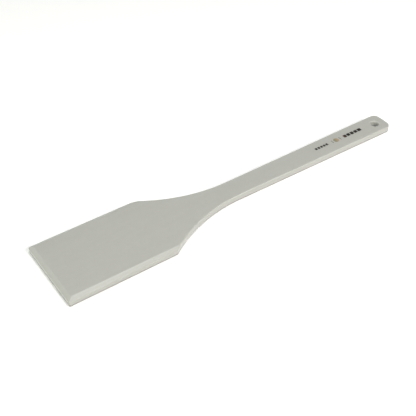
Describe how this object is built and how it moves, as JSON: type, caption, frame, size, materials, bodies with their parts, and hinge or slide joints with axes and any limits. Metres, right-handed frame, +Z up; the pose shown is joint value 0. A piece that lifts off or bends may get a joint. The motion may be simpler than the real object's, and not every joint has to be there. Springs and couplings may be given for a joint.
{
  "type": "palette knife",
  "caption": "One-piece plastic palette knife: flat rectangular blade with a bevelled front and sides, a curved neck and a long flat handle with a hanging hole.",
  "frame": {"origin": "middle of the flat underside, halfway between the front edge of the blade and the end of the handle", "axes": "+X from the blade towards the handle end, +Z up from the flat underside through the thickness, +Y across the blade"},
  "size_m": [0.305, 0.06, 0.0058],
  "materials": {
    "body_plastic": "moulded, fine satin",
    "dark_ink": "printed ink film",
    "small_dark_ink": "printed ink film",
    "tan_ink": "printed ink film",
    "grey_ink": "printed ink film"
  },
  "bodies": {
    "root": {"knife_body": "body_plastic", "long_dark_print": "dark_ink", "short_dark_print": "small_dark_ink", "round_badge_print": "tan_ink", "badge_bar_prints": "grey_ink"}
  },
  "joints": []
}
